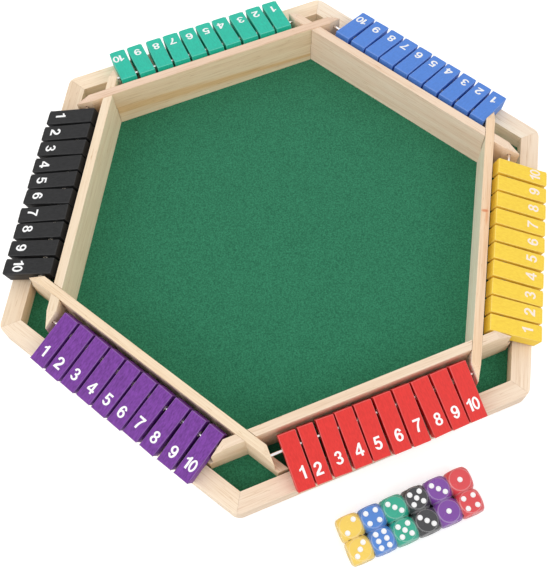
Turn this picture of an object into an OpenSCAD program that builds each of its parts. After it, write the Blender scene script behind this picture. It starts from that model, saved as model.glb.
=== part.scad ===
// Six-player shut the box: a hexagonal tray with a low outer frame, six wall
// boards lapped at the corners, and six rods that each carry ten number tiles.
// Two dice for each player lie beside the frame.
//
// Origin: centre of the underside. +Z is up, and -Y is the side that faces the
// dice, where the red row is. Every row is drawn in its own row frame: +X points
// outwards from the centre, +Y runs along the row from tile 1 to tile 10, and
// rotate([0, 0, row_angle(k)]) puts it in place.

/* [Tray] */
// Centre to the inner face of a wall board
tray_apothem = 143; // [138:0.5:150]
// Thickness of a wall board
board_t = 6.5; // [6:0.1:8]
// Height of a wall board above the felt
board_h = 36.2; // [33:0.1:42]
// Wall board's outer face to the frame's inner face
bay_w = 24.8; // [23:0.1:28]

// Length of the slope on top of a wall board's end, up to its point
tip_slope_l = 11; // [8:0.5:14]
// How much lower the point is than the rest of the board
tip_drop = 6.4; // [3:0.1:7.5]

/* [Frame and base] */
// Width of a frame rail
rail_w = 13.8; // [12:0.1:18]
// Height of a frame rail
rail_h = 16.5; // [14:0.1:18]
// Radius of the frame's rounded corners, seen from above
corner_r = 8; // [4:0.5:14]
// Thickness of the base board
base_t = 2.4; // [2:0.1:4]
// How far the base board reaches under a rail
base_lip = 4.7; // [3:0.1:8]
// Thickness of the felt
felt_t = 0.6; // [0.4:0.1:1]

/* [Tiles] */
// Length of a tile
tile_l = 40.6; // [38:0.1:48]
// Width of a tile
tile_w = 12.4; // [11.6:0.1:13.4]
// Thickness of a tile
tile_t = 9.6; // [8.5:0.1:10.4]
// Radius of a tile's two outer corners, seen from above
tile_corner_r = 1.5; // [0.8:0.1:4]
// Tile's inner end to its bore
bore_from_end = 10.5; // [9:0.1:11]
// How far apart the tiles stand in each row, purple, black, green, blue, yellow
// and red: 0 is touching each other, and 1 takes up the whole rod
row_spreads = [0.76, 0.73, 0.76, 0.66, 0.64, 0.53]; // [0.2:0.01:1]
// How far each row has slid along its rod: 1 is all the way towards tile 10,
// and -1 all the way towards tile 1
row_slides = [0.3, 0, 0.25, -0.9, -0.95, 0.5]; // [-1:0.05:1]

/* [Rods] */
// Diameter of a rod
rod_d = 2; // [1.8:0.1:2.4]
// Rod's centre above the felt
rod_h = 27.5; // [26:0.1:29]
// Diameter of the wider hole where a rod enters a board
mouth_d = 3.2; // [2.6:0.1:4]
// Depth of that wider hole
mouth_depth = 1.5; // [0.5:0.1:2]

/* [Fits] */
// Radial clearance between a tile's bore and its rod
bore_clear = 0.08; // [0.04:0.01:0.1]
// Radial clearance between a rod's end and its hole in a board
seat_clear = 0.05; // [0.02:0.01:0.1]
// Wood that holds a rod's end, measured along the rod
seat_wood = 4.4; // [4:0.1:6]
// Wood left between a rod's hole and the far face of its board
seat_skin = 0.9; // [0.5:0.1:1.5]
// Gap between a rod's end and the bottom of its hole
seat_gap = 0.2; // [0.1:0.1:0.5]
// Seam on the tray's side of a half lap
lap_seam = 0.35; // [0.1:0.05:0.5]
// Seam on the other side of a half lap, and between its halves
lap_clear = 0.1; // [0.05:0.01:0.2]
// Seam across each mitre of the frame
mitre_gap = 0.1; // [0.06:0.02:0.2]
// Gap between a board's mitred end and the frame
tip_gap = 1.8; // [1:0.1:3]
// Gap between the last tile of a row and the board beside it
end_gap = 0.3; // [0.3:0.05:1]
// Gap between a tile's turning inner end and its wall board
swing_gap = 1.7; // [1:0.1:3]
// Gap between a tile's turning inner end and the ledge under the rod
ledge_gap = 0.5; // [0.4:0.1:2]
// Gap under a tile where it comes down on the frame
rest_gap = 0.3; // [0.2:0.05:0.6]
// Gap between a flipped tile and the top of its wall board
flip_gap = 0.3; // [0.2:0.05:0.6]
// Gap round the base board and round the felt
base_clear = 0.1; // [0.05:0.05:0.3]

/* [Dice] */
// Edge length of a die
die_size = 15.9; // [12:0.1:20]
// How far a die's corners are cut back by the sphere that rounds it
die_corner_cut = 3.2; // [1.5:0.1:3.4]
// Diameter of a pip
pip_d = 3.7; // [2.6:0.1:4]
// Depth of a pip
pip_depth = 0.4; // [0.2:0.1:0.8]
// Die's side to the centre of its outer pips
pip_inset = 4.5; // [4:0.1:5]
// Centre of a six to its two lines of pips
six_line = 2.9; // [2.7:0.1:3.2]
// From pip to pip along those lines
six_step = 4.6; // [4.4:0.1:4.8]
// Gap between neighbouring dice
die_gap = 0.05; // [0.05:0.05:1]
// Centre of the block of dice, sideways from the middle of the front
dice_x = -2.5; // [-60:0.5:60]
// Front of the frame to the block of dice
dice_out = 26.75; // [5:0.25:60]

/* [Hidden] */
COLOURS = ["purple", "black", "green", "blue", "yellow", "red"];
PAINT = ["#6f35a0", "#2d2d2f", "#25b48c", "#4a7fdc", "#fbd03c", "#e23a34"];
ROWS = [0:5];
TILES = 10;

// Rows are counted clockwise from the one on the left of the front row.
function row_angle(k) = -150 - 60 * k;
PINE = "#e6cba4";
INNER_PINE = "#cdbb94";
STEEL = "#c9ccd0";
FELT = "#1f5a3c";
PIP = "#f7f7f5";
ROUND = 48;
SMALL_ROUND = 24;
FAR = 400;
PAST = 1;

felt_z = base_t + felt_t;
board_out = tray_apothem + board_t;
rail_in = board_out + bay_w;
rail_out = rail_in + rail_w;
swing_r = norm([bore_from_end, tile_t / 2]);
rod_x = board_out + swing_r + swing_gap;
rod_z = felt_z + rod_h;
ledge_z = rod_z - swing_r - ledge_gap;
lap_z = felt_z + board_h / 2;

// Angle at which a tile's near face passes an edge with a given gap. The edge
// lies run outwards and drop below the rod.
function lean(run, drop, gap) =
    atan2(drop, run) - asin((tile_t / 2 + gap) / norm([run, drop]));
rest_angle = lean(rail_out - rod_x, rod_z - rail_h, rest_gap);
flip_lean = atan2(felt_z + board_h - rod_z, rod_x - board_out)
    + asin((tile_t / 2 + flip_gap) / (norm([rod_x - board_out, felt_z + board_h - rod_z])));
flip_travel = 180 + rest_angle - flip_lean;

// A board's outer face, measured along the rod of the next row.
board_reach = (board_out - rod_x * cos(60)) / sin(60);
rod_half = board_reach - seat_skin - seat_gap;

// Room along a rod between the boards that hold it, and what ten tiles leave.
row_room = 2 * (board_reach - seat_wood);
row_play = row_room - TILES * tile_w - 2 * end_gap;

// Where a wall board's point is, measured along the board from its middle.
tip_y = (board_out * sin(60) - row_room / 2) / cos(60);

// Gap between the tiles of row k, how far the row can slide each way, and the
// middle of its tile n.
function tile_gap(k) = row_spreads[k] * row_play / (TILES - 1);
function slide_room(k) = (1 - row_spreads[k]) * row_play / 2;
function tile_y(k, n) = row_slides[k] * slide_room(k)
    + (n - (TILES + 1) / 2) * (tile_w + tile_gap(k));

echo(rest_angle = rest_angle, flip_travel = flip_travel, rod_x = rod_x, rod_z = rod_z);
echo(row_room = row_room, gaps = [for (k = ROWS) tile_gap(k)]);

module in_row(k) {
    rotate([0, 0, row_angle(k)]) children();
}

// A prism on a regular hexagon whose flats face the six rows.
module hex_prism(apothem, h) {
    cylinder(r = apothem / cos(30), h = h, $fn = 6);
}

// What is drawn for the whole box, seen from a row's own frame.
module in_row_frame() {
    rotate([0, 0, 30]) children();
}

module row_hex_prism(apothem, h) {
    in_row_frame() hex_prism(apothem, h);
}

module base_board() {
    color(PINE) hex_prism(rail_in + base_lip - base_clear, base_t);
}

module felt() {
    color(FELT) translate([0, 0, base_t]) hex_prism(rail_in - base_clear, felt_t);
}

// What is cut off a rail's end to round the frame's corner there.
module corner_waste() {
    middle = rail_out - corner_r;
    translate([middle, middle * tan(30), -PAST]) difference() {
        cube([corner_r + PAST, 2 * corner_r, rail_h + 2 * PAST]);
        translate([0, 0, -PAST]) cylinder(r = corner_r, h = rail_h + 4 * PAST, $fn = ROUND);
    }
}

// One rail: a strip with both ends mitred and the frame's corner rounded on
// them, and a rebate underneath for the base board.
module rail() {
    seam = mitre_gap / 2;
    color(PINE) difference() {
        linear_extrude(rail_h) polygon([
            [rail_in, (rail_in - 2 * seam) * tan(30)],
            [rail_out, (rail_out - 2 * seam) * tan(30)],
            [rail_out, (2 * seam - rail_out) * tan(30)],
            [rail_in, (2 * seam - rail_in) * tan(30)]
        ]);
        translate([rail_in - PAST, -FAR / 2, -PAST]) cube([base_lip + PAST, FAR, base_t + PAST]);
        for (side = [0, 1]) mirror([0, side, 0]) corner_waste();
    }
}

module frame_rails() {
    for (k = ROWS) in_row(k) rail();
}

// The wall board's plain blank: a long strip with both ends mitred to run
// alongside the rails of the two neighbouring rows.
module board_blank() {
    translate([0, 0, felt_z]) intersection() {
        translate([tray_apothem, -FAR / 2, 0]) cube([board_t, FAR, board_h]);
        row_hex_prism(rail_in - tip_gap, board_h);
    }
}

// Where another board crosses: its thickness and a seam on each side.
module lap_slot(z0, h) {
    translate([tray_apothem - lap_seam, -FAR / 2, z0])
        cube([lap_seam + board_t + lap_clear, FAR, h]);
}

// What is sloped off the top of a board's end.
module tip_waste() {
    translate([tray_apothem - PAST, tip_y - tip_slope_l, felt_z + board_h])
        rotate([-atan2(tip_drop, tip_slope_l), 0, 0])
            cube([board_t + 2 * PAST, FAR, board_h]);
}

// The room that a row's tiles turn in, which cuts the upper half of the
// neighbouring boards' tips square to the rod.
module tile_room() {
    translate([board_out, -row_room / 2, ledge_z]) cube([FAR, row_room, board_h]);
}

// The two blind holes that hold a row's rod, each wider at its mouth.
module rod_seats() {
    for (side = [-1, 1]) translate([rod_x, 0, rod_z]) rotate([-90 * side, 0, 0]) {
        cylinder(d = rod_d + 2 * seat_clear, h = rod_half + seat_gap, $fn = ROUND);
        translate([0, 0, row_room / 2])
            cylinder(d = mouth_d, h = mouth_depth, $fn = ROUND);
    }
}

// Every second board passes over its neighbours and is slotted from below. The
// others pass under and are slotted from above.
module wall_board(k) {
    over = k % 2 == 0;
    difference() {
        board_blank();
        for (turn = [-60, 60]) rotate([0, 0, turn]) {
            if (over) lap_slot(0, lap_z + lap_clear / 2);
            else lap_slot(lap_z - lap_clear / 2, FAR);
            tile_room();
            rod_seats();
        }
        for (side = [0, 1]) mirror([0, side, 0]) tip_waste();
    }
}

module wall_boards() {
    for (k = ROWS) color(INNER_PINE) in_row(k) wall_board(k);
}

module rods() {
    color(STEEL) for (k = ROWS) in_row(k) translate([rod_x, rod_half, rod_z])
        rotate([90, 0, 0]) cylinder(d = rod_d, h = 2 * rod_half, $fn = ROUND);
}

// A tile about its bore: it lies along X with the bore along Y at the origin.
module tile() {
    outer = tile_l - bore_from_end;
    difference() {
        translate([0, 0, -tile_t / 2]) linear_extrude(tile_t) {
            translate([-bore_from_end, -tile_w / 2])
                square([tile_l - tile_corner_r, tile_w]);
            translate([-bore_from_end, tile_corner_r - tile_w / 2])
                square([tile_l, tile_w - 2 * tile_corner_r]);
            for (side = [-1, 1])
                translate([outer - tile_corner_r, side * (tile_w / 2 - tile_corner_r)])
                    circle(r = tile_corner_r, $fn = SMALL_ROUND);
        }
        translate([0, tile_w / 2 + PAST, 0]) rotate([90, 0, 0])
            cylinder(d = rod_d + 2 * bore_clear, h = tile_w + 2 * PAST, $fn = ROUND);
    }
}

// Tile n of row k, open: it leans outwards and down onto the frame.
module placed_tile(k, n) {
    color(PAINT[k]) in_row(k) translate([rod_x, tile_y(k, n), rod_z])
        rotate([0, rest_angle, 0]) tile();
}

// Pip places on a face, as steps of -1, 0 and 1 along its two sides.
function pips(value) =
    value == 1 ? [[0, 0]] :
    value == 2 ? [[-1, -1], [1, 1]] :
    value == 3 ? [[-1, -1], [0, 0], [1, 1]] :
    value == 4 ? [[-1, -1], [-1, 1], [1, -1], [1, 1]] :
    value == 5 ? [[-1, -1], [-1, 1], [0, 0], [1, -1], [1, 1]] :
    [[-1, -1], [-1, 0], [-1, 1], [1, -1], [1, 0], [1, 1]];

module pip_face(value) {
    reach = die_size / 2 - pip_inset;
    step = value == 6 ? [six_line, six_step] : [reach, reach];
    for (p = pips(value))
        translate([p.x * step.x, p.y * step.y, die_size / 2 - pip_depth])
            cylinder(d = pip_d, h = pip_depth + PAST, $fn = SMALL_ROUND);
}

// A die about its centre with 1 on top. Opposite faces add up to seven.
module die_solid() {
    difference() {
        intersection() {
            cube(die_size, center = true);
            sphere(r = die_size / 2 * sqrt(3) - die_corner_cut, $fn = ROUND);
        }
        pip_face(1);
        rotate([90, 0, 0]) pip_face(2);
        rotate([0, 90, 0]) pip_face(3);
        rotate([0, -90, 0]) pip_face(4);
        rotate([-90, 0, 0]) pip_face(5);
        rotate([180, 0, 0]) pip_face(6);
    }
}

// Turns the die so that a value comes on top.
function value_up(value) =
    value == 1 ? [0, 0, 0] :
    value == 2 ? [-90, 0, 0] :
    value == 3 ? [0, -90, 0] :
    value == 4 ? [0, 90, 0] :
    value == 5 ? [90, 0, 0] :
    [180, 0, 0];

// Each player's two dice, from the far row to the near one: the value on top
// and the quarter turns about the vertical.
DICE = [
    [4, [2, 0], [3, 0]],
    [3, [4, 0], [6, 0]],
    [2, [3, 1], [5, 0]],
    [1, [5, 0], [3, 1]],
    [0, [3, 1], [1, 0]],
    [5, [1, 0], [4, 0]]
];

module dice() {
    step = die_size + die_gap;
    translate([dice_x, -rail_out - dice_out - step, die_size / 2])
        for (i = [0:len(DICE) - 1]) for (j = [0, 1])
            color(PAINT[DICE[i][0]])
                translate([(i - 2.5) * step, (0.5 - j) * step, 0])
                    rotate([0, 0, 90 * DICE[i][j + 1][1]])
                        rotate(value_up(DICE[i][j + 1][0])) die_solid();
}

base_board();
felt();
frame_rails();
wall_boards();
rods();
dice();
for (k = ROWS) {
    for (n = [1:8])
        placed_tile(k, n);
    for (n = [9, 10]) placed_tile(k, n);
}
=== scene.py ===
import math

import bmesh
import bpy
from mathutils import Matrix, Vector


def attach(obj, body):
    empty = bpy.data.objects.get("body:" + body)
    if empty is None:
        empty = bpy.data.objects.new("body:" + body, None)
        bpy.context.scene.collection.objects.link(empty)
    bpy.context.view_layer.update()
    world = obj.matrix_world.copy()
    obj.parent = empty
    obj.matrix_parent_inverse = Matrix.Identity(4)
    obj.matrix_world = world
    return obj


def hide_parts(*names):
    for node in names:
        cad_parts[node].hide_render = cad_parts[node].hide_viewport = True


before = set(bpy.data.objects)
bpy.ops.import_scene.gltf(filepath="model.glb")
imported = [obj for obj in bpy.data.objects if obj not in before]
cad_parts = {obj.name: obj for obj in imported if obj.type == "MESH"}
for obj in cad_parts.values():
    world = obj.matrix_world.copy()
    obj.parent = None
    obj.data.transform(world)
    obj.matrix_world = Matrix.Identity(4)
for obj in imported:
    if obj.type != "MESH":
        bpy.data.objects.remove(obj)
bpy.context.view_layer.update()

# ---------------------------------------------------------------- the view
# The camera stands above the corner between the purple and the red row, at
# the height and distance worked out from the photograph's perspective.
camera = bpy.data.objects.new("camera", bpy.data.cameras.new("camera"))
bpy.context.collection.objects.link(camera)
camera.location = (-0.10583, -0.29727, 0.59665)
camera.rotation_euler = [math.radians(a) for a in (22.5278, -0.4504, -22.6926)]
camera.data.sensor_fit = "HORIZONTAL"
camera.data.sensor_width = 36
camera.data.lens = 57.447
camera.data.shift_x = -0.0667
camera.data.shift_y = 0.0596
camera.data.clip_start = 0.01
camera.data.clip_end = 50
bpy.context.scene.camera = camera
bpy.context.scene.view_settings.view_transform = "Standard"


# ------------------------------------------------- the table and the light
# A plain white table top that runs out of view, lit by a white room and by
# three soft lamps. The camera sees the table as pure white, with a faint
# shadow under the game.
def add(material, kind, **values):
    """A node of the given kind, with its inputs and settings."""
    node = material.node_tree.nodes.new("ShaderNode" + kind)
    for name, value in values.items():
        if name.startswith("in_"):
            key = name[3:]
            node.inputs[int(key) if key.isdigit() else key.replace("_", " ")].default_value = value
        else:
            setattr(node, name, value)
    return node


def join(material, source, target):
    """Links an output to an input."""
    material.node_tree.links.new(source, target)


def calc(material, operation, *terms):
    """The result of a Math node whose terms are outputs or plain numbers."""
    node = add(material, "Math", operation=operation)
    for index, term in enumerate(terms):
        if isinstance(term, bpy.types.NodeSocket):
            join(material, term, node.inputs[index])
        else:
            node.inputs[index].default_value = term
    return node.outputs[0]


def between(material, amount, low, high, start=0.0, end=1.0):
    """Goes from start to end as the amount goes from low to high."""
    node = add(material, "MapRange", in_1=low, in_2=high, in_3=start, in_4=end)
    join(material, amount, node.inputs["Value"])
    return node.outputs["Result"]


def mesh_object(name, shape, *materials):
    """A linked object made of a bmesh, which is used up."""
    thing = bpy.data.objects.new(name, bpy.data.meshes.new(name))
    shape.to_mesh(thing.data)
    shape.free()
    bpy.context.collection.objects.link(thing)
    for material in materials:
        thing.data.materials.append(material)
    return thing


TABLE_HALF = 6
TABLE_TOP = -0.0006
TABLE_LIFT = 0.45
white_table = bpy.data.materials.new("white_table")
white_table.use_nodes = True
white_table.node_tree.nodes.clear()
out = add(white_table, "OutputMaterial")
paper = add(white_table, "BsdfDiffuse", in_Color=(0.8, 0.8, 0.8, 1))
glow = add(white_table, "Emission", in_Color=(1, 1, 1, 1))
both = add(white_table, "AddShader")
# what the camera sees is lifted to white, but not deep between the dice
seen = add(white_table, "LightPath").outputs["Is Camera Ray"]
open_air = add(white_table, "AmbientOcclusion", samples=8, in_Distance=0.03).outputs["AO"]
in_the_open = calc(white_table, "MULTIPLY", between(white_table, open_air, 0.10, 0.38), seen)
lift = calc(white_table, "MULTIPLY", in_the_open, TABLE_LIFT)
join(white_table, lift, glow.inputs["Strength"])
join(white_table, paper.outputs[0], both.inputs[0])
join(white_table, glow.outputs[0], both.inputs[1])
join(white_table, both.outputs[0], out.inputs["Surface"])

floor_mesh = bmesh.new()
bmesh.ops.create_grid(floor_mesh, x_segments=1, y_segments=1, size=TABLE_HALF)
bmesh.ops.translate(floor_mesh, verts=floor_mesh.verts, vec=(0, 0, TABLE_TOP))
floor = mesh_object("table_top", floor_mesh, white_table)

room = bpy.data.worlds.new("white_room")
room.use_nodes = True
bpy.context.scene.world = room
sky = room.node_tree.nodes["Background"]
sky.inputs["Color"].default_value = (1, 1, 1, 1)
sky.inputs["Strength"].default_value = 0.86

for name, place, size, power in (
    ("lamp_left", (-1.5, -0.2, 1.0), 1.3, 7.0),
    ("lamp_back", (0.5, 1.3, 1.4), 1.0, 1.2),
    ("lamp_front", (0.9, -1.2, 1.6), 1.2, 6.0),
):
    lamp = bpy.data.objects.new(name, bpy.data.lights.new(name, "AREA"))
    lamp.data.shape = "DISK"
    lamp.data.size = size
    lamp.data.energy = power
    lamp.location = place
    lamp.rotation_euler = (-Vector(place)).to_track_quat("-Z", "Y").to_euler()
    bpy.context.collection.objects.link(lamp)


# ------------------------------------------------------------- base board
# A thin hexagonal pine sheet let into a rebate under the frame. Only its
# underside can be seen, so it keeps the plain solid and gets its wood here.
COLOURS = ["purple", "black", "green", "blue", "yellow", "red"]
ROW_ANGLE = [-150 - 60 * k for k in range(6)]


def surface(name, **values):
    """A new material and its Principled shader, with the inputs given."""
    material = bpy.data.materials.new(name)
    material.use_nodes = True
    skin = material.node_tree.nodes["Principled BSDF"]
    for key, value in values.items():
        skin.inputs[key.replace("_", " ")].default_value = value
    return material, skin


def on_object(material):
    """The object's own coordinates, which are the frame's."""
    return add(material, "TexCoord").outputs["Object"]


def in_row(material, turn):
    """Coordinates outwards, along and up for a row that faces the angle turn."""
    lay = add(material, "Mapping", vector_type="TEXTURE", in_Rotation=(0, 0, math.radians(turn)))
    join(material, on_object(material), lay.inputs["Vector"])
    return lay.outputs[0]


def noise(material, place, **values):
    """Noise at the given coordinates."""
    node = add(material, "TexNoise", **values)
    join(material, place, node.inputs["Vector"])
    return node.outputs["Fac"]


def blend(material, amount, low, low_colour, high, high_colour):
    """One colour where the amount is low and another where it is high."""
    node = add(material, "ValToRGB")
    for index, place, colour in ((0, low, low_colour), (1, high, high_colour)):
        node.color_ramp.elements[index].position = place
        node.color_ramp.elements[index].color = (*colour, 1)
    join(material, amount, node.inputs["Fac"])
    return node.outputs["Color"]


def multiply(material, below, amount, colour):
    """What is below, multiplied by a colour as far as the amount says."""
    node = add(material, "MixRGB", blend_type="MULTIPLY", in_Color2=(*colour, 1))
    join(material, amount, node.inputs["Fac"])
    join(material, below, node.inputs["Color1"])
    return node.outputs["Color"]


def emboss(material, skin, height, strength, depth):
    """Raises the surface a little by the height."""
    bump = add(material, "Bump", in_Strength=strength, in_Distance=depth)
    join(material, height, bump.inputs["Height"])
    join(material, bump.outputs["Normal"], skin.inputs["Normal"])


def pine(name, turn, tone, seed, streak=None, marks=()):
    """Pale sanded pine whose grain runs along a row that faces the angle turn."""
    wood, skin = surface(name, Roughness=0.55, Specular_IOR_Level=0.3)
    lay = in_row(wood, turn)

    def grain(scale, start, detail, distortion=0.0):
        """Noise drawn out along the board; scale is outwards, along and up."""
        stretch = add(wood, "Mapping", in_Location=(start, start * 1.7, start), in_Scale=scale)
        join(wood, lay, stretch.inputs["Vector"])
        return noise(
            wood, stretch.outputs[0],
            in_Scale=1.0, in_Detail=detail, in_Roughness=0.55, in_Distortion=distortion,
        )

    def stain(below, mask, low, high, most, colour):
        """Multiplies what is below by a colour where the mask lies above low."""
        return multiply(wood, below, between(wood, mask, low, high, 0.0, most), colour)

    # growth bands, long and drawn out
    dark = (tone[0] * 0.95, tone[1] * 0.90, tone[2] * 0.86)
    light = tuple(min(1, c * 1.04) for c in tone)
    colour = blend(wood, grain((190, 4.0, 190), seed * 3, 4.0, 0.5), 0.32, dark, 0.60, light)
    # slow warm areas, fine fibres and short dark flecks
    areas = grain((30, 5, 30), seed, 3.0)
    fibres = grain((1500, 40, 1500), seed, 3.0)
    flecks = grain((1100, 110, 1100), seed * 5, 2.0)
    colour = stain(colour, areas, 0.45, 0.70, 0.7, (0.97, 0.91, 0.85))
    colour = stain(colour, fibres, 0.50, 0.72, 0.8, (0.82, 0.73, 0.62))
    colour = stain(colour, flecks, 0.66, 0.74, 0.6, (0.72, 0.60, 0.46))
    if streak:
        # a darker band of heartwood: its height and half its width at the
        # middle of the board, and how both change along it
        height, slope, half, widening = streak
        split = add(wood, "SeparateXYZ")
        join(wood, lay, split.inputs[0])
        along, up = split.outputs["Y"], split.outputs["Z"]
        centre = calc(wood, "MULTIPLY_ADD", along, slope, height)
        reach = calc(wood, "MULTIPLY_ADD", along, widening, half)
        away = calc(wood, "ABSOLUTE", calc(wood, "SUBTRACT", up, centre))
        share = calc(wood, "DIVIDE", away, reach)
        edge = grain((380, 9, 380), seed * 2, 3.0, 0.4)
        ragged = calc(wood, "MULTIPLY_ADD", edge, -1.5, share)
        colour = stain(colour, ragged, 0.45, -0.40, 1.0, (0.91, 0.77, 0.58))
    for middle, reach, tinge in marks:
        # a knot or a warm patch: its middle, half its size and its colour
        spot = add(wood, "Mapping", vector_type="TEXTURE", in_Location=middle, in_Scale=reach)
        ball = add(wood, "TexGradient", gradient_type="SPHERICAL")
        join(wood, lay, spot.inputs["Vector"])
        join(wood, spot.outputs[0], ball.inputs["Vector"])
        colour = stain(colour, ball.outputs["Fac"], 0.0, 0.6, 1.0, tinge)
    join(wood, colour, skin.inputs["Base Color"])
    emboss(wood, skin, fibres, 0.15, 0.0003)
    return wood


PINE = (0.83, 0.68, 0.49)
base_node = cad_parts["base_board"]
base_node.data.materials.clear()
base_node.data.materials.append(pine("base_pine", 90, PINE, 7.0))


# ------------------------------------------------------------------- felt
# A sheet of dark green felt glued over the whole base board, so it also
# shows in the open pockets at the six corners. Its cut edge lies against
# the frame.
FELT_APOTHEM = 0.1742
FELT_CORNER = FELT_APOTHEM / math.cos(math.pi / 6)
FELT_BOTTOM, FELT_TOP = 0.0024, 0.0030

green_felt, skin = surface(
    "green_felt", Roughness=0.95, Specular_IOR_Level=0.15, Sheen_Weight=0.1, Sheen_Roughness=0.6
)
place = on_object(green_felt)
fluff = noise(green_felt, place, in_Scale=900.0, in_Detail=5.0, in_Roughness=0.7)
cloud = noise(green_felt, place, in_Scale=60.0, in_Detail=4.0, in_Roughness=0.6)
colour = blend(green_felt, fluff, 0.36, (0.012, 0.122, 0.062), 0.66, (0.042, 0.272, 0.143))
colour = multiply(green_felt, colour, cloud, (0.80, 0.86, 0.84))
join(green_felt, colour, skin.inputs["Base Color"])
emboss(green_felt, skin, fluff, 0.5, 0.0004)

sheet = bmesh.new()
bmesh.ops.create_circle(sheet, cap_ends=True, segments=6, radius=FELT_CORNER)
bmesh.ops.rotate(sheet, verts=sheet.verts, matrix=Matrix.Rotation(math.radians(30), 3, "Z"))
bmesh.ops.translate(sheet, verts=sheet.verts, vec=(0, 0, FELT_BOTTOM))
top = bmesh.ops.extrude_face_region(sheet, geom=sheet.faces[:])
bmesh.ops.translate(
    sheet,
    verts=[v for v in top["geom"] if isinstance(v, bmesh.types.BMVert)],
    vec=(0, 0, FELT_TOP - FELT_BOTTOM),
)
bmesh.ops.recalc_face_normals(sheet, faces=sheet.faces[:])
felt = mesh_object("felt_sheet", sheet, green_felt)
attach(felt, "box")
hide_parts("felt")


# ------------------------------------------------------------ frame rails
# Six pine rails, mitred and glued into a low hexagonal frame, with the
# corners rounded and every edge lightly sanded.
def solids_by_row(node_name):
    """Each of a node's six solids as a clean bmesh, by the row it belongs to."""
    whole = bmesh.new()
    whole.from_mesh(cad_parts[node_name].data)
    bmesh.ops.remove_doubles(whole, verts=whole.verts, dist=1e-6)
    bmesh.ops.dissolve_limit(
        whole, angle_limit=math.radians(0.5), verts=whole.verts, edges=whole.edges
    )
    rows = {}
    left = set(whole.verts)
    while left:
        island, queue = set(), [left.pop()]
        while queue:
            v = queue.pop()
            if v in island:
                continue
            island.add(v)
            queue.extend(e.other_vert(v) for e in v.link_edges)
        left -= island
        middle = sum((v.co for v in island), Vector()) / len(island)
        turn = math.degrees(math.atan2(middle.y, middle.x))
        row = min(range(6), key=lambda k: abs((turn - ROW_ANGLE[k] + 180) % 360 - 180))
        keep = {v.index for v in island}
        one = whole.copy()
        others = [v for v in one.verts if v.index not in keep]
        bmesh.ops.delete(one, geom=others, context="VERTS")
        rows[row] = one
    whole.free()
    return rows


SHARP = math.radians(24)


def wooden_piece(name, shape, edge, materials, glued=None):
    """Sanded wood: sharp edges are rounded by the radius edge, but not where glued."""
    sharp = [
        e for e in shape.edges
        if len(e.link_faces) == 2 and e.calc_face_angle() > SHARP
        and not (glued and all(glued(v.co) for v in e.verts))
    ]
    bmesh.ops.bevel(
        shape, geom=sharp, offset=edge, offset_type="OFFSET", segments=2, profile=0.5,
        affect="EDGES", material=-1, clamp_overlap=True,
    )
    piece = mesh_object(name, shape, *materials)
    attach(piece, "box")
    return piece


def at_mitre(co):
    """Whether a point lies on a mitre between two rails, which point along 0, 60, 120 ..."""
    off = math.radians((math.degrees(math.atan2(co.y, co.x)) + 30) % 60 - 30)
    return abs(off) * co.xy.length < 0.0002


RAIL_TONE = {
    "purple": (0.912, 0.769, 0.604),
    "black": (0.845, 0.697, 0.528),
    "green": (0.960, 0.802, 0.616),
    "blue": (0.983, 0.861, 0.720),
    "yellow": (0.925, 0.775, 0.617),
    "red": (0.880, 0.720, 0.565),
}
RAIL_EASED = 0.0006
rails = solids_by_row("frame_rails")
for row, shape in sorted(rails.items()):
    colour = COLOURS[row]
    wood = pine(f"rail_pine_{colour}", ROW_ANGLE[row], RAIL_TONE[colour], 11.0 + 3.7 * row)
    rail = wooden_piece(f"frame_rail_{colour}", shape, RAIL_EASED, [wood], at_mitre)
    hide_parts("frame_rails")


# ------------------------------------------------------------ wall boards
# Six taller pine boards stand on the felt round the tray. They cross at the
# corners in half laps, and their ends run on to the frame, stepped down
# where the neighbouring row's tiles turn and bored there for its rod.
BOARD_EASED = 0.0003
# the tone of each board's narrow top edge, and of its broad faces: partly the real difference of
# edge and face grain, partly painted light, as the faces are painted lighter to make up for the
# less light they get
TOP_TONE = {
    "purple": (0.863, 0.700, 0.507),
    "black": (0.877, 0.735, 0.555),
    "green": (0.811, 0.614, 0.474),
    "blue": (0.855, 0.678, 0.525),
    "yellow": (0.893, 0.675, 0.470),
    "red": (0.853, 0.688, 0.529),
}
SIDE_TONE_PAINTED_LIGHT = {
    "purple": (0.900, 0.740, 0.550),
    "black": (0.960, 0.810, 0.590),
    "green": (0.965, 0.750, 0.530),
    "blue": (0.982, 0.756, 0.605),
    "yellow": (1.000, 0.896, 0.736),
    "red": (0.900, 0.740, 0.550),
}
# the heartwood low in one board, and the warm stripe and the small knot in
# the top edge of another
STREAKS = {"green": (0.0138, 0.058, 0.0052, 0.037)}
MARKS = {
    "yellow": (
        ((0.1478, 0.002, 0.0392), (0.0030, 0.055, 0.004), (0.98, 0.90, 0.82)),
        ((0.1458, 0.0187, 0.0392), (0.0032, 0.0016, 0.004), (0.84, 0.48, 0.36)),
        ((0.1475, 0.0140, 0.0392), (0.0012, 0.0090, 0.004), (0.92, 0.72, 0.60)),
    )
}
boards = solids_by_row("wall_boards")
for row, shape in sorted(boards.items()):
    colour, turn = COLOURS[row], ROW_ANGLE[row]
    faces = pine(
        f"board_face_{colour}", turn, SIDE_TONE_PAINTED_LIGHT[colour], 31.0 + 5.3 * row,
        streak=STREAKS.get(colour),
    )
    edges = pine(
        f"board_edge_{colour}", turn, TOP_TONE[colour], 47.0 + 2.9 * row,
        marks=MARKS.get(colour, ()),
    )
    board = wooden_piece(f"wall_board_{colour}", shape, BOARD_EASED, [faces, edges])
    # upward faces take the top edge's tone, the rest the lighter face tone, which is partly
    # painted light
    for face in board.data.polygons:
        face.material_index = 1 if face.normal.z > 0.6 else 0
    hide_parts("wall_boards")


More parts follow.
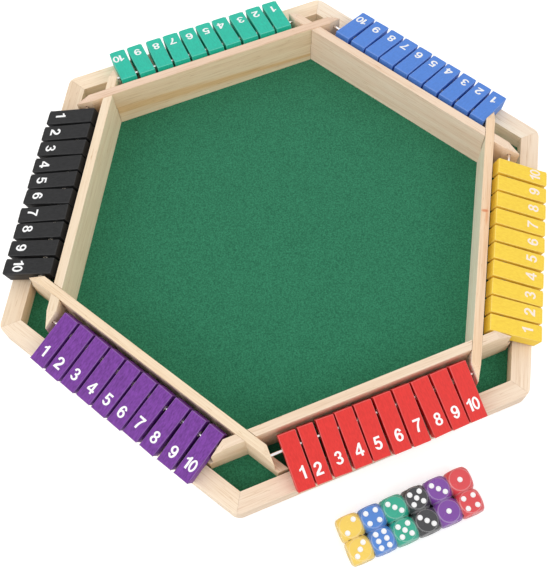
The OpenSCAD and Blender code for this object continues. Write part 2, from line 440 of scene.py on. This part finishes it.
# ------------------------------------------------------------------- rods
# Six drawn steel rods, one along each row. The ends sit in blind holes in
# the boards of the two neighbouring rows.
steel, skin = surface("drawn_steel", Metallic=1.0, Base_Color=(0.97, 0.97, 0.98, 1))
drawn = noise(steel, on_object(steel), in_Scale=700.0, in_Detail=2.0)
join(steel, between(steel, drawn, 0.3, 0.7, 0.12, 0.28), skin.inputs["Roughness"])
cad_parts["rods"].data.materials.clear()
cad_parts["rods"].data.materials.append(steel)


# ------------------------------------------------------------ number tiles
# Ten wooden tiles on each rod, sawn to size, bored near the inner end and
# painted all over, with a white number printed near the outer end. The
# bore runs across the tile; the outer end's corners are rounded.
TILE_L, TILE_W, TILE_T = 0.0406, 0.0124, 0.0096
BORE_AT, BORE_R = 0.0105, 0.0013
# the rim round a bore, pale bare wood that is also a painted glint of the rod between the tiles,
# and the eased edges
MOUTH = 0.0009
EDGE_EASED = 0.00045
ROD_X, ROD_Z = 0.162745, 0.0305
REST = math.radians(18.764)
PAINT = {
    "purple": (0.176, 0.034, 0.308),
    "black": (0.015, 0.015, 0.016),
    "green": (0.012, 0.530, 0.378),
    "blue": (0.085, 0.243, 0.720),
    "yellow": (1.000, 0.667, 0.065),
    "red": (0.760, 0.036, 0.030),
}
# how round the outer corners are, how far the grain shows through the paint,
# and how much paler the eased edges are painted, partly thin paint and partly a painted highlight
CORNER_ROUND = {
    "purple": 0.0009, "black": 0.0015, "green": 0.0019,
    "blue": 0.0015, "yellow": 0.0015, "red": 0.0009,
}
GRAIN_SHOWS = {
    "purple": 0.20, "black": 0.12, "green": 0.08, "blue": 0.06, "yellow": 0.06, "red": 0.06,
}
EDGE_HIGHLIGHT_PALER = {
    "purple": 0.10, "black": 0.02, "green": 0.10, "blue": 0.10, "yellow": 0.10, "red": 0.10,
}
# the materials of a tile, in order
PAINTED, PRINTED, EDGE_HIGHLIGHT, BORE_GLINT = range(4)

# The bores are loose on the rod, so each tile stands a little askew: how far
# its outer end leans towards tile 10, how far it has slid along the rod, and
# how much longer it was sawn than the others, all in millimetres.
LEAN = {
    "purple": (-1.8, -1.8, -1.7, -1.6, -1.8, -1.8, -1.8, -1.8, -0.4, -0.8),
    "black": (-1.0, -0.3, -1.3, 0.1, 0.1, -1.8, 1.0, 0.0, -0.5, -0.3),
    "green": (-1.4, -0.9, -0.3, -0.1, -0.3, -0.5, -0.7, -0.6, 1.0, 0.3),
    "blue": (0.5, 0.1, 0.0, 0.5, -0.2, 0.3, -0.1, 0.2, 1.5, 0.4),
    "yellow": (0.7, 0.5, -0.1, -0.1, 0.2, 0.7, 0.4, 0.4, 0.5, 0.3),
    "red": (-0.7, -1.1, -1.7, -0.4, -0.7, -0.2, -0.2, 1.6, 1.0, 0.1),
}
SLID = {
    "purple": (0.6, 0.6, 0.4, 0.3, 0.1, -0.1, -0.5, 0.0, 0.1, 0.6),
    "black": (1.0, 0.9, 1.0, 0.6, 0.4, 0.5, 0.2, -0.1, 0.2, 0.5),
    "green": (0.1, -0.1, -0.1, 0.1, 0.0, -0.2, -0.6, -0.8, -0.3, 0.2),
    "blue": (-0.4, -0.3, -0.1, 0.3, 0.1, -0.4, -0.4, -0.7, -0.7, -0.1),
    "yellow": (0.2, 0.0, -0.4, -0.3, -0.3, -0.3, -0.4, -0.3, -0.3, 0.2),
    "red": (-0.1, -0.9, -1.0, -1.1, -1.2, -0.7, -0.5, -0.2, 0.0, 0.3),
}
LONGER = {
    "purple": (-0.8, -0.2, -0.4, -0.7, -0.3, -0.2, -0.8, -0.4, -0.5, -0.3),
    "black": (0.0, 0.5, 0.4, 0.4, 0.5, 0.3, 0.5, 0.3, 0.5, 0.5),
    "green": (0.5, 0.5, -0.1, 0.5, 0.2, 0.5, 0.5, 0.5, 0.5, 0.5),
    "blue": (-0.3, -0.3, -0.2, 0.0, -0.4, 0.1, 0.2, 0.2, -0.3, 0.0),
    "yellow": (0.5, 0.3, 0.5, 0.5, 0.5, 0.5, 0.5, 0.5, 0.5, 0.5),
    "red": (-0.8, -0.8, -0.8, -0.8, -0.8, 0.3, 0.5, 0.1, 0.1, 0.0),
}
# one tile was sawn narrower than the rest
SLIMMER = {("red", 2): 1.6}
# The numbers were printed by hand as well: how far each stands from the line
# through the middle of its tile's place along the rod, and from the rod.
NUMBER_ASIDE = {
    "purple": (-0.7, -1.2, -1.1, -0.2, -0.7, -1.6, -1.4, -1.4, 0.2, 0.2),
    "black": (-0.8, 0.1, 0.5, 0.6, 0.2, -0.7, -0.4, -1.5, -0.4, 0.4),
    "green": (-1.4, -0.5, -1.3, 1.2, -0.4, -0.4, -0.7, -1.3, -0.2, 1.6),
    "blue": (0.0, -0.3, -0.8, 1.2, 0.7, 0.6, 0.2, -0.7, -0.3, 0.5),
    "yellow": (0.9, 0.9, 0.0, 0.9, 0.9, 0.6, 0.3, 0.5, 0.7, 1.2),
    "red": (0.7, -2.7, -1.4, -0.7, -1.2, 0.1, 0.7, 1.4, 0.4, 0.2),
}
NUMBER_OUT = {
    "purple": (18.3, 19.1, 18.4, 18.6, 18.4, 18.9, 17.5, 18.6, 18.8, 18.2),
    "black": (18.3, 19.1, 19.4, 20.5, 19.2, 18.9, 18.9, 19.4, 20.3, 18.4),
    "green": (18.9, 19.3, 18.2, 19.2, 18.3, 18.3, 19.3, 19.5, 19.6, 18.8),
    "blue": (19.1, 18.9, 19.2, 20.3, 19.0, 18.6, 19.3, 19.1, 18.5, 19.1),
    "yellow": (18.7, 19.8, 19.8, 19.9, 19.9, 20.4, 19.8, 19.8, 20.2, 20.2),
    "red": (17.6, 19.1, 17.8, 18.0, 18.6, 18.9, 17.8, 19.1, 19.2, 18.8),
}
MOST_YAW = math.radians(2.6)
LEAN_REACH = 0.040
MILLIMETRE = 0.001
NUMBER_HEIGHT = 0.0089
PRINT_PROUD = 0.00003


def tile_shape(length, width, corner):
    """One tile about its bore, lying along X, with its edges eased."""
    shape = bmesh.new()
    low, high = -BORE_AT, length - BORE_AT
    half = TILE_T / 2
    profile = ((low, -half), (high, -half), (high, half), (low, half))
    corners = [shape.verts.new((x, -width / 2, z)) for x, z in profile]
    outline = [shape.edges.new((corners[i], corners[(i + 1) % 4])) for i in range(4)]
    hole = bmesh.ops.create_circle(shape, cap_ends=False, segments=24, radius=BORE_R)["verts"]
    bmesh.ops.rotate(shape, verts=hole, matrix=Matrix.Rotation(math.radians(90), 3, "X"))
    bmesh.ops.translate(shape, verts=hole, vec=(0, -width / 2, 0))
    rim = list(dict.fromkeys(e for v in hole for e in v.link_edges))
    bmesh.ops.bridge_loops(shape, edges=outline + rim)
    side = bmesh.ops.extrude_face_region(shape, geom=shape.faces[:])
    moved = [v for v in side["geom"] if isinstance(v, bmesh.types.BMVert)]
    bmesh.ops.translate(shape, verts=moved, vec=(0, width, 0))
    bmesh.ops.recalc_face_normals(shape, faces=shape.faces[:])

    def from_bore(co):
        return math.hypot(co.x, co.z)

    upright = [
        e for e in shape.edges
        if all(abs(v.co.x - high) < 1e-6 for v in e.verts)
        and abs(e.verts[0].co.z - e.verts[1].co.z) > half
    ]
    bmesh.ops.bevel(
        shape, geom=upright, offset=corner, segments=4, profile=0.5,
        affect="EDGES", material=-1,
    )
    sharp = [
        e for e in shape.edges
        if len(e.link_faces) == 2 and e.calc_face_angle() > math.radians(40)
        and any(from_bore(v.co) > 2 * BORE_R for v in e.verts)
    ]
    bmesh.ops.bevel(
        shape, geom=sharp, offset=EDGE_EASED, segments=2, profile=0.5,
        affect="EDGES", material=-1,
    )
    mouths = [
        e for e in shape.edges
        if all(from_bore(v.co) < 1.1 * BORE_R for v in e.verts)
        and abs(e.verts[0].co.y - e.verts[1].co.y) < 1e-6
    ]
    bmesh.ops.bevel(
        shape, geom=mouths, offset=MOUTH, segments=1, profile=0.5,
        affect="EDGES", material=-1,
    )
    # the faces round the bore are pale bare wood, which is also a painted glint of the rod between
    # the tiles
    for face in shape.faces:
        near = from_bore(face.calc_center_median()) < BORE_R + MOUTH - 0.0001
        if near and abs(face.normal.y) < 0.99:
            face.material_index = BORE_GLINT
        # the eased edges get the paler paint, a painted highlight that is partly thin paint
        elif max(abs(c) for c in face.normal) < 0.985:
            face.material_index = EDGE_HIGHLIGHT
    return shape


def bend(x, y, across, up, start, end, steps=16):
    """Points along part of an ellipse, from one angle to another."""
    turns = [math.radians(start + (end - start) * i / steps) for i in range(steps + 1)]
    return [(x + across * math.cos(a), y + up * math.sin(a)) for a in turns]


# Outlines of plain bold figures one unit tall; a second or third loop is a hole.
SIX = [
    bend(0.31, 0.5, 0.31, 0.5, 28, 195) + bend(0.31, 0.325, 0.30, 0.325, 200, 470, 24)
    + bend(0.31, 0.5, 0.135, 0.345, 163, 35, 10),
    bend(0.31, 0.315, 0.125, 0.17, 0, 345, 15),
]
FIGURES = {
    0: [bend(0.31, 0.5, 0.31, 0.5, 0, 350, 35), bend(0.31, 0.5, 0.135, 0.34, 0, 345, 23)],
    1: [[(0.205, 0), (0.385, 0), (0.385, 1), (0.25, 1), (0.20, 0.90), (0.11, 0.82), (0, 0.775),
         (0, 0.62), (0.11, 0.655), (0.205, 0.72)]],
    2: [[(0.01, 0), (0.62, 0), (0.62, 0.17), (0.28, 0.17), (0.31, 0.215), (0.41, 0.31),
         (0.525, 0.43), (0.59, 0.54)] + bend(0.315, 0.70, 0.30, 0.30, 345 - 360, 172)
        + [(0.022, 0.675), (0.195, 0.655)] + bend(0.315, 0.70, 0.12, 0.145, 180, 0, 12)
        + [(0.42, 0.62), (0.37, 0.545), (0.25, 0.43), (0.11, 0.29), (0.035, 0.15)]],
    3: [bend(0.295, 0.735, 0.265, 0.265, 172, -25) + [(0.50, 0.565), (0.455, 0.53), (0.515, 0.495)]
        + bend(0.30, 0.29, 0.30, 0.29, 38, -172, 20) + [(0.17, 0.225)]
        + bend(0.30, 0.285, 0.125, 0.135, -155, 90, 14) + [(0.225, 0.42), (0.225, 0.575)]
        + bend(0.295, 0.715, 0.105, 0.135, -90, 165, 14) + [(0.19, 0.70), (0.03, 0.725)]],
    4: [[(0.37, 0), (0.54, 0), (0.54, 0.20), (0.655, 0.20), (0.655, 0.36), (0.54, 0.36),
         (0.54, 1), (0.39, 1), (0, 0.37), (0, 0.20), (0.37, 0.20)],
        [(0.37, 0.36), (0.15, 0.36), (0.37, 0.70)]],
    5: [[(0.10, 1), (0.56, 1), (0.56, 0.835), (0.235, 0.835), (0.215, 0.665)]
        + bend(0.305, 0.335, 0.305, 0.335, 104, -170, 24) + [(0.175, 0.235)]
        + bend(0.305, 0.335, 0.125, 0.175, -150, 148, 18) + [(0.035, 0.46)]],
    6: SIX,
    7: [[(0.01, 1), (0.62, 1), (0.62, 0.865), (0.52, 0.735), (0.43, 0.575), (0.365, 0.40),
         (0.325, 0.20), (0.31, 0), (0.13, 0), (0.15, 0.20), (0.195, 0.40), (0.26, 0.57),
         (0.34, 0.715), (0.42, 0.83), (0.01, 0.83)]],
    8: [bend(0.30, 0.735, 0.265, 0.265, -42, 222, 20) + [(0.13, 0.53)]
        + bend(0.30, 0.285, 0.30, 0.285, 132, 408, 24) + [(0.47, 0.53)],
        bend(0.30, 0.72, 0.105, 0.125, 0, 340, 17), bend(0.30, 0.285, 0.13, 0.15, 0, 340, 17)],
    9: [[(0.62 - x, 1 - y) for x, y in loop] for loop in SIX],
}
FIGURES[10] = FIGURES[1] + [[(0.43 + x * 0.90, y) for x, y in loop] for loop in FIGURES[0]]


def number_shape(n):
    """The number as a thin printed layer about its own middle, upright for the player outside."""
    shape = bmesh.new()
    edges = []
    for loop in FIGURES[n]:
        corners = [shape.verts.new((x * NUMBER_HEIGHT, y * NUMBER_HEIGHT, 0)) for x, y in loop]
        edges += [shape.edges.new((corners[i - 1], corners[i])) for i in range(len(corners))]
    bmesh.ops.triangle_fill(
        shape, use_beauty=True, use_dissolve=False, edges=edges, normal=(0, 0, 1)
    )
    for face in shape.faces:
        if face.normal.z < 0:
            face.normal_flip()
    width = max(v.co.x for v in shape.verts)
    bmesh.ops.translate(shape, verts=shape.verts, vec=(-width / 2, -NUMBER_HEIGHT / 2, 0))
    # read from outside: the number's top points back at the wall
    bmesh.ops.rotate(shape, verts=shape.verts, matrix=Matrix.Rotation(math.radians(90), 3, "Z"))
    return shape


def paint(name, colour, seed, turn, show=0.06):
    """Brushed paint; the wood's grain shows through it by the share show."""
    coat, skin = surface(name, Specular_IOR_Level=0.25)
    stretch = add(coat, "Mapping", in_Location=(seed, 0, 0), in_Scale=(45, 900, 900))
    join(coat, in_row(coat, turn), stretch.inputs["Vector"])
    grain = noise(coat, stretch.outputs[0], in_Scale=1.0, in_Detail=3.0, in_Roughness=0.6)
    patch = noise(coat, on_object(coat), in_Scale=70.0, in_Detail=3.0)
    dark = tuple(c * (1 - 1.3 * show) for c in colour)
    light = tuple(min(1, c * (1 + show) + show / 15) for c in colour)
    tint = multiply(coat, blend(coat, grain, 0.32, dark, 0.66, light), patch, (0.95, 0.95, 0.95))
    join(coat, tint, skin.inputs["Base Color"])
    join(coat, between(coat, grain, 0.3, 0.7, 0.36, 0.52), skin.inputs["Roughness"])
    emboss(coat, skin, grain, 0.12, 0.0002)
    return coat


def print_ink(name, dim, full):
    """White ink, a little uneven where it was stamped."""
    ink, skin = surface(name, Roughness=0.5)
    speck = noise(ink, on_object(ink), in_Scale=1500.0, in_Detail=2.0)
    join(ink, blend(ink, speck, 0.25, dim, 0.5, full), skin.inputs["Base Color"])
    return ink


def add_tile(whole, colour, n, on_rod):
    """Adds a tile and its printed number to a bmesh, each at its own place."""
    length = TILE_L + LONGER[colour][n - 1] * MILLIMETRE
    width = TILE_W - SLIMMER.get((colour, n), 0.0) * MILLIMETRE
    block = tile_shape(length, width, CORNER_ROUND[colour])
    slid = Matrix.Translation((0, SLID[colour][n - 1] * MILLIMETRE, 0))
    figure = number_shape(n)
    for face in figure.faces:
        face.material_index = PRINTED
    out, aside = (table[colour][n - 1] * MILLIMETRE for table in (NUMBER_OUT, NUMBER_ASIDE))
    printed = Matrix.Translation((out, aside, TILE_T / 2 + PRINT_PROUD))
    lean = LEAN[colour][n - 1] * MILLIMETRE / LEAN_REACH
    yaw = Matrix.Rotation(max(-MOST_YAW, min(MOST_YAW, lean)), 4, "Z")
    for part, place in ((block, slid), (figure, printed)):
        bmesh.ops.transform(part, matrix=on_rod @ place @ yaw, verts=part.verts)
        copy = bpy.data.meshes.new("copy")
        part.to_mesh(copy)
        part.free()
        whole.from_mesh(copy)
        bpy.data.meshes.remove(copy)


white_ink = print_ink("white_ink", (0.84, 0.84, 0.83), (0.95, 0.95, 0.95))
thin_ink = print_ink("thin_white_ink", (0.92, 0.74, 0.58), (0.96, 0.84, 0.74))
# the tiles were bored after painting, so the bore and its rim are bare wood, whose pale colour
# also paints the glint of the rod seen between the tiles
bore_glint_wood = pine("bore_rim_glint", 90, (0.95, 0.90, 0.80), 71.0)

for row, colour in enumerate(COLOURS):
    turn, seed = ROW_ANGLE[row], 3.1 * row
    coat = paint(f"{colour}_paint", PAINT[colour], seed, turn, GRAIN_SHOWS[colour])
    # the eased edges' paint is paler: partly thin paint, partly a painted highlight
    highlight_tint = [c + (0.95 - c) * EDGE_HIGHLIGHT_PALER[colour] for c in PAINT[colour]]
    highlit_edge_coat = paint(f"{colour}_edge_paint_highlight", highlight_tint, seed, turn)
    ink = thin_ink if colour == "yellow" else white_ink
    out_of_row = Matrix.Rotation(math.radians(turn), 4, "Z")
    tiles = {f"tile_{colour}_{n}": [n] for n in range(1, 9)}
    tiles[f"tiles_{colour}_9_10"] = [9, 10]
    for node, numbers in tiles.items():
        # the tile's place along its rod comes from the solid
        along = [(out_of_row.inverted() @ v.co).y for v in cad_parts[node].data.vertices]
        shape = bmesh.new()
        for n in numbers:
            middle = min(along) + TILE_W / 2 if n < 10 else max(along) - TILE_W / 2
            on_rod = Matrix.Translation((ROD_X, middle, ROD_Z)) @ Matrix.Rotation(REST, 4, "Y")
            add_tile(shape, colour, n, out_of_row @ on_rod)
        tile = mesh_object("painted_" + node, shape, coat, ink, highlit_edge_coat, bore_glint_wood)
        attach(tile, node)
        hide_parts(node)


# ------------------------------------------------------------------- dice
# Two glossy plastic dice for each player, tumbled smooth, with the pips
# sunk and filled with white paint.
DICE_TINT = {
    "purple": (0.205, 0.056, 0.350),
    "black": (0.044, 0.044, 0.047),
    "green": (0.024, 0.385, 0.255),
    "blue": (0.074, 0.228, 0.630),
    "yellow": (0.905, 0.625, 0.105),
    "red": (0.715, 0.060, 0.070),
}
DICE_ORDER = ["yellow", "blue", "green", "black", "purple", "red"]
DIE, DIE_STEP = 0.0159, 0.01595
DICE_X = -0.0025
# how far the pips are sunk lies between these two
PIP_LEAST, PIP_MOST = 0.0001, 0.0006
# a face's rounded rim, which lies beyond this far from the face's middle; it is painted paler as a
# highlight
RING_WIDTH, HIGHLIGHT_RING_FROM, RING_HIGHLIGHT_PALER = 0.0003, 0.0060, 0.16

whole = bmesh.new()
whole.from_mesh(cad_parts["dice"].data)
bmesh.ops.remove_doubles(whole, verts=whole.verts, dist=1e-6)
lines = sorted({round(v.co.y, 4) for v in whole.verts})
near_y, far_y = lines[0] + DIE / 2, lines[-1] - DIE / 2
sharp = [
    e for e in whole.edges
    if len(e.link_faces) == 2 and e.calc_face_angle() > math.radians(20)
    and any(max(abs(c) for c in f.normal) > 0.999 for f in e.link_faces)
]
bmesh.ops.bevel(
    whole, geom=sharp, offset=RING_WIDTH, segments=2, profile=0.5,
    affect="EDGES", material=-1, clamp_overlap=True,
)
for face in whole.faces:
    middle = face.calc_center_median()
    column = max(0, min(5, int((middle.x - DICE_X) / DIE_STEP + 3)))
    y = far_y if abs(middle.y - far_y) < abs(middle.y - near_y) else near_y
    off = middle - Vector((DICE_X + (column - 2.5) * DIE_STEP, y, DIE / 2))
    out = max(abs(c) for c in off)
    aside = math.sqrt(max(0.0, off.length_squared - out**2))
    flat = max(abs(c) for c in face.normal) > 0.999
    sunk = flat and PIP_LEAST < DIE / 2 - out < PIP_MOST
    # the rim round each flat face gets the paler colour, a painted highlight
    highlight_ring = not flat and DIE / 2 - out < 0.0005 and aside > HIGHLIGHT_RING_FROM
    face.material_index = 12 if sunk else column + 6 * highlight_ring
    face.smooth = True
dice = mesh_object("twelve_dice", whole)
# each colour once for the faces and once, paler, as a painted highlight on the
# rim where a flat face ends, and the pips' white last
for highlight_ring in (False, True):
    for colour in DICE_ORDER:
        tint = [c + (1.0 - c) * RING_HIGHLIGHT_PALER * highlight_ring for c in DICE_TINT[colour]]
        name = f"{colour}_ring" if highlight_ring else f"{colour}_plastic"
        plastic, skin = surface(name, Coat_Weight=0.4, Coat_Roughness=0.08)
        swirl = noise(plastic, on_object(plastic), in_Scale=160.0, in_Detail=2.0)
        dark = [c * 0.93 for c in tint]
        light = [min(1, c * 1.06) for c in tint]
        join(plastic, blend(plastic, swirl, 0.0, dark, 1.0, light), skin.inputs["Base Color"])
        join(plastic, between(plastic, swirl, 0.3, 0.7, 0.20, 0.30), skin.inputs["Roughness"])
        dice.data.materials.append(plastic)
dice.data.materials.append(white_ink)
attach(dice, "dice")
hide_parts("dice")
